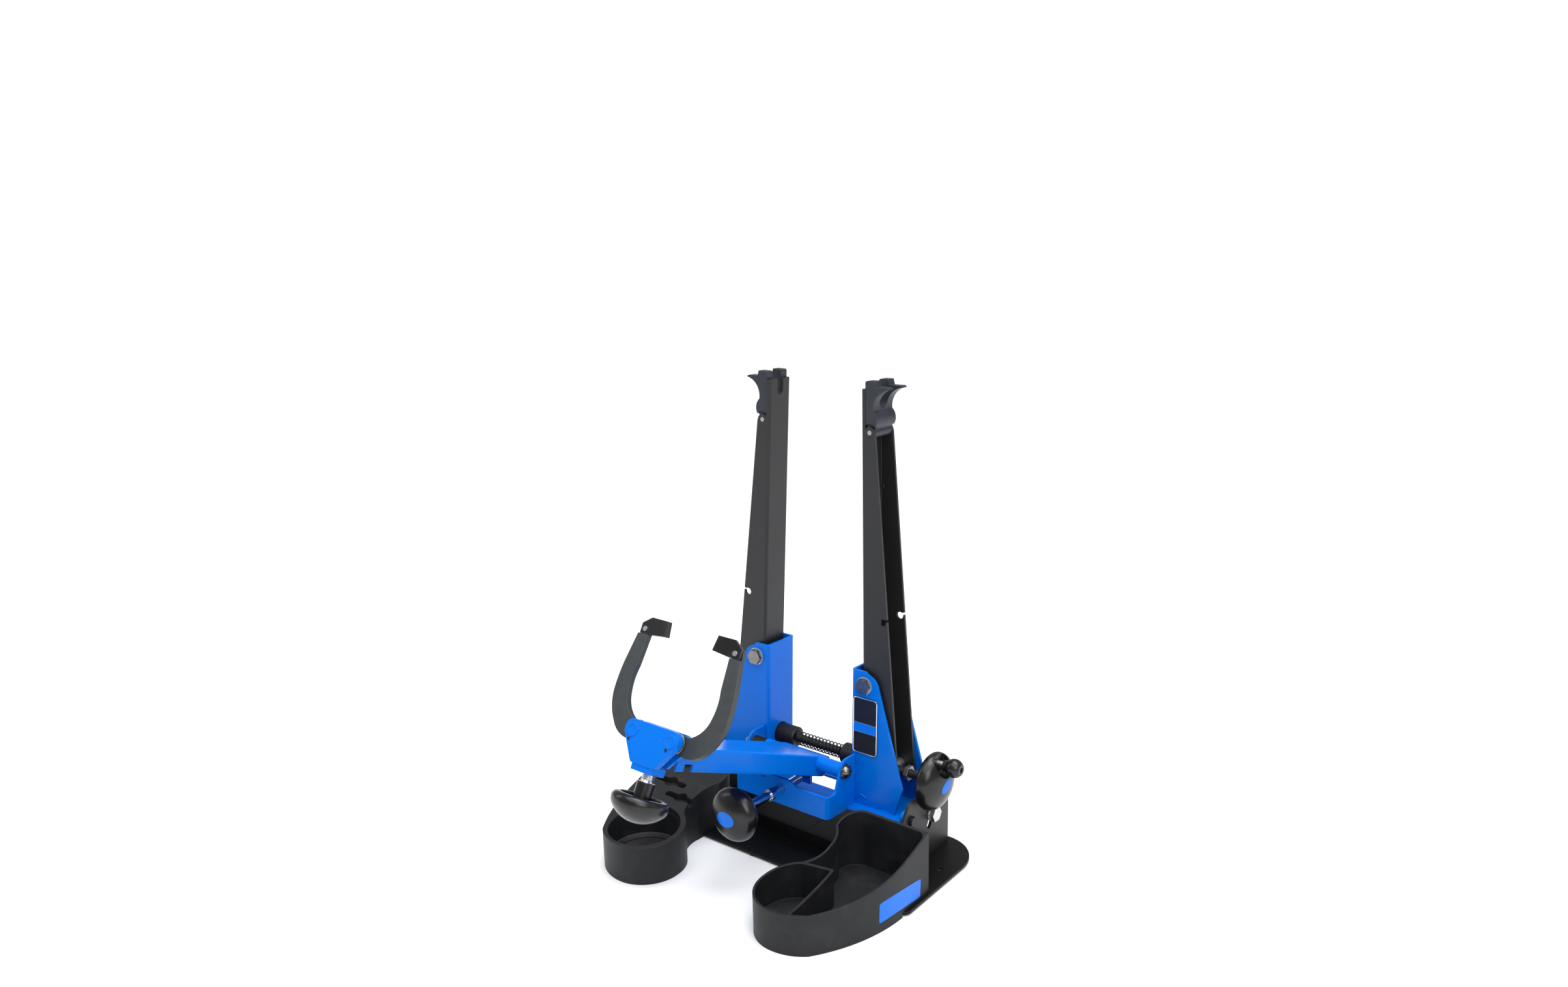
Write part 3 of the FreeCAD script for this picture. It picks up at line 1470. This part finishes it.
NOSE_ANGLE = math.radians(45)


def make_lift_screw():
    bushing = stand_piece("lift_bushing")
    spot = (0, 0, lift_z)
    rod(bushing, "Y", spot, -mm.bushing_front, -mm.bushing_rear, mm.bushing_radius, mm.lift_rod + mm.fit)
    screw = stand_piece("lift_screw")
    back = -mm.lift_back
    seat = back - mm.lift_knob_depth / 2
    tip = mm.arm_y + mm.lug_face - mm.lug_gap
    radius = mm.lift_rod
    nose = mm.lift_nose

    def on_nose(angle):
        return (tip - nose + nose * math.cos(angle), nose * math.sin(angle))
    neck, neck_radius = on_nose(NOSE_ANGLE)
    revolve(screw, "Y", spot,
            outline((seat + mm.gap, 0), (seat + mm.gap, radius), (neck - radius + neck_radius, radius),
                    (neck, neck_radius), ("bow", *on_nose(NOSE_ANGLE / 2), *on_nose(0))))
    knob = stand_piece("lift_knob")
    revolve(knob, "Y", spot,
            knob_section(back, mm.lift_knob_depth, mm.lift_skirt, mm.lift_knob_radius,
                         mm.lift_rod + mm.fit, seat, -1))


# Caliper head and its two arms, drawn in the plane of the head

def head_piece(label):
    return stand_piece(label, 0, mm.head_y, mm.head_z, mm.head_tilt)


def head_outline(low):
    """The head's shield shape down to a level."""
    round_top = mm.head_top
    narrow = mm.head_half_low
    return outline((-mm.head_half_top, mm.head_top, round_top - mm.gap), (mm.head_half_top, mm.head_top, round_top - mm.gap),
                   (mm.head_half_top, -mm.head_waist, mm.head_waist), (narrow, low, mm.head_waist),
                   (-narrow, low, mm.head_waist), (-mm.head_half_top, -mm.head_waist, mm.head_waist))


def make_head():
    body = head_piece("caliper_head")
    extrude(body, "Z", -mm.head_thick, 0, head_outline(head_foot))
    for side in (-1, 1):
        rod(body, "Z", (side * mm.caliper_pivot, pivot_drop, 0), -mm.gap, mm.boss_rise, mm.boss_radius)
        drill(body, "Z", (side * mm.caliper_pivot, pivot_drop, 0), mm.boss_rise / 2, mm.boss_rise + mm.gap,
              mm.caliper_pin + mm.gap)
        rod(body, "Z", (side * mm.post_x, mm.post_y, 0), slot_floor, -mm.head_thick, mm.post_radius)
    extrude(body, "Z", back_face, -mm.boss_rise,
            box(-mm.chin_half, mm.chin_half, chin_foot, head_foot + mm.chin_drop / 2, mm.boss_rise * 2))
    drill(body, "Y", (0, 0, -mm.stem_depth), chin_foot - mm.gap, head_foot + mm.chin_drop, mm.stem_radius + mm.fit)
    back = head_piece("head_back")
    holes = [ring(side * mm.caliper_pivot, pivot_drop, mm.caliper_pin + mm.fit) for side in (-1, 1)]
    extrude(back, "Z", back_face, slot_floor, head_outline(head_foot + mm.chin_drop / 2 + mm.gap), *holes)
    channel = mm.stem_radius + mm.gap
    extrude(back, "Z", back_face - mm.gap, slot_floor + mm.gap,
            outline((-channel, head_foot), (channel, head_foot), (channel, -channel),
                    ("bow", 0, 0, -channel, -channel)), cut=True)
    pins = head_piece("caliper_pins")
    shapes = [ring(side * mm.caliper_pivot, pivot_drop, mm.caliper_pin) for side in (-1, 1)]
    extrude(pins, "Z", back_face, -mm.head_thick, *shapes)


CALIPER_SHARES = {
    "heel": (0.089, -0.094), "belly_via": (0.488, -0.09), "belly": (0.751, 0.012),
    "flank_via": (0.969, 0.2136), "flank": (1.0, 0.352), "brow_via": (0.99, 0.487), "brow": (0.957, 0.617),
    "crown": (0.813, 1.0), "lap": (0.568, 1.0), "inner": (0.619, 0.582), "bend_via": (0.652, 0.439),
    "bend": (0.621, 0.314), "palm_via": (0.498, 0.176), "palm": (0.245, 0.083), "neck": (0.089, 0.085),
}


def caliper_spot(side, name):
    across, along = CALIPER_SHARES[name]
    return (side * (mm.caliper_pivot + mm.caliper_reach * across), pivot_drop + mm.caliper_height * along)


def caliper_bow(side, via, name):
    return ("bow", *caliper_spot(side, via), *caliper_spot(side, name))


def make_caliper_arm(name, side):
    """A curved plate arm with a round hub and a tail that rides on the stem's cone."""
    body = head_piece("caliper_arm_" + name)
    extrude(body, "Z", arm_back_face, arm_front_face,
            outline(caliper_spot(side, "heel"), caliper_bow(side, "belly_via", "belly"),
                    caliper_bow(side, "flank_via", "flank"), caliper_bow(side, "brow_via", "brow"),
                    caliper_spot(side, "crown"), caliper_spot(side, "lap"), caliper_spot(side, "inner"),
                    caliper_bow(side, "bend_via", "bend"), caliper_bow(side, "palm_via", "palm"),
                    caliper_spot(side, "neck")))
    x = side * mm.caliper_pivot
    rod(body, "Z", (x, pivot_drop, 0), arm_back_face, arm_front_face, mm.caliper_hub)
    tail_x = side * (mm.cone_contact + mm.tail_width / 2)
    tail_y = -mm.tail_drop
    half = mm.tail_width / 2
    rod(body, "Z", (tail_x, tail_y, 0), arm_back_face, arm_front_face, half)
    extrude(body, "Z", arm_back_face, arm_front_face,
            outline((tail_x - side * half * TAIL_SHARES[0], tail_y + half * TAIL_SHARES[1]),
                    (tail_x + side * half * TAIL_SHARES[0], tail_y - half * TAIL_SHARES[1]),
                    (x, pivot_drop - mm.caliper_hub * 0.9), (x - side * mm.caliper_hub * 0.9, pivot_drop)))
    drill(body, "Z", (x, pivot_drop, 0), arm_back_face - mm.gap, arm_front_face + mm.gap,
          mm.caliper_pin + mm.fit)
    lap_low = caliper_spot(side, "lap")[1] - mm.tip_lap
    extrude(body, "Z", arm_front_face - mm.caliper_thick / 2, arm_front_face + mm.gap,
            box(*span(side, mm.caliper_pivot, mm.caliper_pivot + mm.caliper_reach + mm.overrun), lap_low,
                lap_low + mm.tip_lap + mm.overrun), cut=True)


TAIL_SHARES = (0.6, 0.8)


def make_caliper_tip(name, side):
    """The plastic feeler lapped on the arm's end, turned in towards the middle."""
    body = head_piece("caliper_tip_" + name)
    lap = caliper_spot(side, "lap")
    crown = caliper_spot(side, "crown")
    lap_low = lap[1] - mm.tip_lap
    gap = mm.gap
    half_face = arm_front_face - mm.caliper_thick / 2 + gap
    inner_x = lap[0] - side * gap
    tip_x = crown[0] - side * mm.tip_length
    extrude(body, "Z", half_face, arm_front_face,
            outline((inner_x, lap_low + gap), (crown[0], lap_low + gap), (crown[0], lap[1]),
                    (crown[0] - side * mm.tip_lap, lap[1] + mm.tip_height / 2),
                    (inner_x, lap[1] + mm.tip_height / 2)))
    extrude(body, "Z", arm_back_face, arm_front_face,
            outline((inner_x, lap_low + gap), (inner_x, lap[1] + mm.tip_height / 2),
                    (tip_x, lap[1] + mm.tip_height / 2), (tip_x - side * mm.tip_screw, lap_low + mm.tip_screw)))


def make_tip_screw(name, side):
    body = head_piece("tip_screw_" + name)
    x = (caliper_spot(side, "lap")[0] + caliper_spot(side, "crown")[0]) / 2
    y = caliper_spot(side, "lap")[1] - mm.tip_lap / 2
    rod(body, "Z", (x, y, 0), arm_front_face, arm_front_face + mm.tip_screw / 2, mm.tip_screw)


def make_stem():
    stem = head_piece("caliper_stem")
    low = -mm.grip_top - mm.grip_hub_rise
    shoulder = -mm.cone_start
    revolve(stem, "Y", (0, 0, -mm.stem_depth),
            outline((low, 0), (low, mm.stem_radius), (shoulder, mm.stem_radius),
                    (shoulder + mm.cone_length, mm.cone_tip), (shoulder + mm.cone_length, 0)))
    grip = head_piece("caliper_knob")
    back = -mm.grip_top - mm.grip_rise
    floor = back - mm.grip_depth / 2
    wall = mm.knob_wall
    radius = mm.grip_radius
    bore_end = low - mm.gap
    skirt = back - mm.grip_skirt
    hollow = radius * HOLLOW_SHARE
    revolve(grip, "Y", (0, 0, -mm.stem_depth),
            outline((bore_end, 0), (bore_end, mm.stem_radius + mm.fit), (-mm.grip_top, mm.stem_radius + mm.fit),
                    (-mm.grip_top, mm.grip_hub), (floor, mm.grip_hub, wall / 2),
                    (floor, hollow, wall), (back, hollow, wall / 2), (back, radius - mm.grip_skirt),
                    *edge_steps(back, radius, mm.grip_skirt, -1),
                    *dome_steps(skirt, mm.grip_depth - mm.grip_skirt, radius, -1)))
    rib = mm.grip_rib
    axis_z = -mm.stem_depth
    extrude(grip, "Y", floor - mm.gap, back - wall,
            box(-hollow - rib, hollow + rib, axis_z - rib, axis_z + rib))
    extrude(grip, "Y", floor - mm.gap, back - wall,
            box(-rib, rib, axis_z - hollow - rib, axis_z + hollow + rib))
    drill(grip, "Y", (0, 0, axis_z), bore_end, -mm.grip_top, mm.stem_radius + mm.fit)


HOLLOW_SHARE = 0.72


# Springs, each one unbroken tube along a helix

def arc_pair(start, start_way, end, end_way):
    """Two arcs that meet smoothly and lead from one point and direction to another."""
    gap = end - start
    ways = start_way + end_way
    square = 4 - ways.dot(ways)
    half = gap.dot(ways)
    run = (math.sqrt(half * half + square * gap.dot(gap)) - half) / square
    knees = (start + start_way * run, end - end_way * run)
    middle = (knees[0] + knees[1]) / 2
    arcs = []
    for first, knee, last in ((start, knees[0], middle), (middle, knees[1], end)):
        weight = (last - first).Length / 2 / run
        top = ((first + last) / 2 + knee * weight) / (1 + weight)
        arcs.append(Part.Arc(first, top, last).toShape())
    return arcs


def coil(label, start, radius, length, turns, wire):
    """One unbroken tube round a line along X, drawn in the stand's frame and leaned with it."""
    pitch = length / turns
    steps = int(turns * STEPS_PER_TURN)
    rise = pitch / (math.tau * radius)
    points = []
    for i in range(steps + 1):
        angle = math.tau * i / STEPS_PER_TURN
        round_way = FreeCAD.Vector(0, math.cos(angle), math.sin(angle))
        way = FreeCAD.Vector(rise, -math.sin(angle), math.cos(angle)).normalize()
        points.append((start + round_way * radius + X * (length * i / steps), way))
    arcs = []
    for (a, a_way), (b, b_way) in zip(points, points[1:]):
        arcs += arc_pair(a, a_way, b, b_way)
    section = Part.Wire([Part.makeCircle(wire / 2, points[0][0], points[0][1])])
    tube = Part.Wire(arcs).makePipeShell([section], True)
    trail = [arc.valueAt(arc.FirstParameter + (arc.LastParameter - arc.FirstParameter) * share)
             for arc in arcs for share in (0, 0.5)]
    turn = STEPS_PER_TURN * 4
    least = min(trail[i].distanceToPoint(trail[j]) for i in range(len(trail))
                for j in range(i + turn * 3 // 4, min(i + turn * 5 // 4, len(trail)))) - wire
    print(label, "least gap to itself", round(least, 3))
    feature = doc.addObject("Part::Feature", label)
    feature.Label = label
    feature.Shape = tube
    world_y, world_z = stand_point(Size.of(0), Size.of(0))
    feature.Placement = FreeCAD.Placement(FreeCAD.Vector(0, world_y.value, world_z.value),
                                          FreeCAD.Rotation(X, -mm.lean.value))
    pieces.append(feature)


STEPS_PER_TURN = 4


def make_springs():
    wire = mm.spring_wire.value
    reach = mm.spring_half.value - mm.gap.value - wire / 2
    turns = mm.spring_turns.value
    coil("main_spring", FreeCAD.Vector(-reach, 0, mm.shaft_z.value), mm.spring_mean.value,
         2 * reach, turns, wire)
    wire = mm.arm_spring_wire.value
    low = -ear_inner.value + mm.gap.value + wire / 2
    high = -mm.tube_left.value - mm.gap.value - wire / 2
    turns = mm.arm_spring_turns.value
    coil("arm_spring", FreeCAD.Vector(low, mm.arm_y.value, mm.arm_z.value), mm.arm_spring_mean.value,
         high - low, turns, wire)


# Build all, check all, write all

def build():
    for name, side in SIDES.items():
        make_base_plate(name, side)
        make_cheek(name, side)
    make_cross_wall()
    make_feet()
    make_hold_down_screws()
    make_pivot_bolts()
    make_bin_tray()
    make_deck_tray()
    make_cradle()
    make_lock_bolts()
    make_front_channel()
    make_label_plate()
    make_upright_fasteners()
    for name, side in SIDES.items():
        make_bracket(name, side)
        make_upright(name, side)
        make_adaptor(name, side)
        make_collar(name, side)
        make_trunnion(name, side)
        make_caliper_arm(name, side)
        make_caliper_tip(name, side)
        make_tip_screw(name, side)
    make_adaptor_pins()
    make_shaft()
    make_crank_knob()
    make_spinner()
    make_arm()
    make_arm_pivot()
    make_lug()
    make_lift_screw()
    make_head()
    make_stem()
    make_springs()


def check():
    doc.recompute()
    for item in doc.Objects:
        if "Invalid" in item.State or "Error" in item.State:
            raise RuntimeError(item.Name + " failed: " + str(item.State))
    for item in doc.Objects:
        if item.TypeId in ("PartDesign::Pocket", "PartDesign::Groove"):
            if item.Shape.Volume >= item.BaseFeature.Shape.Volume:
                raise RuntimeError(item.Name + " cuts nothing")
    for body in pieces:
        shape = body.Shape
        if shape.isNull() or not shape.isValid() or not shape.Solids:
            raise RuntimeError(body.Label + " has no valid shape")


def write():
    os.makedirs("parts", exist_ok=True)
    for body in pieces:
        body.Shape.exportStep("parts/" + body.Label + ".step")
    print(len(pieces), "pieces written")


build()
check()
write()
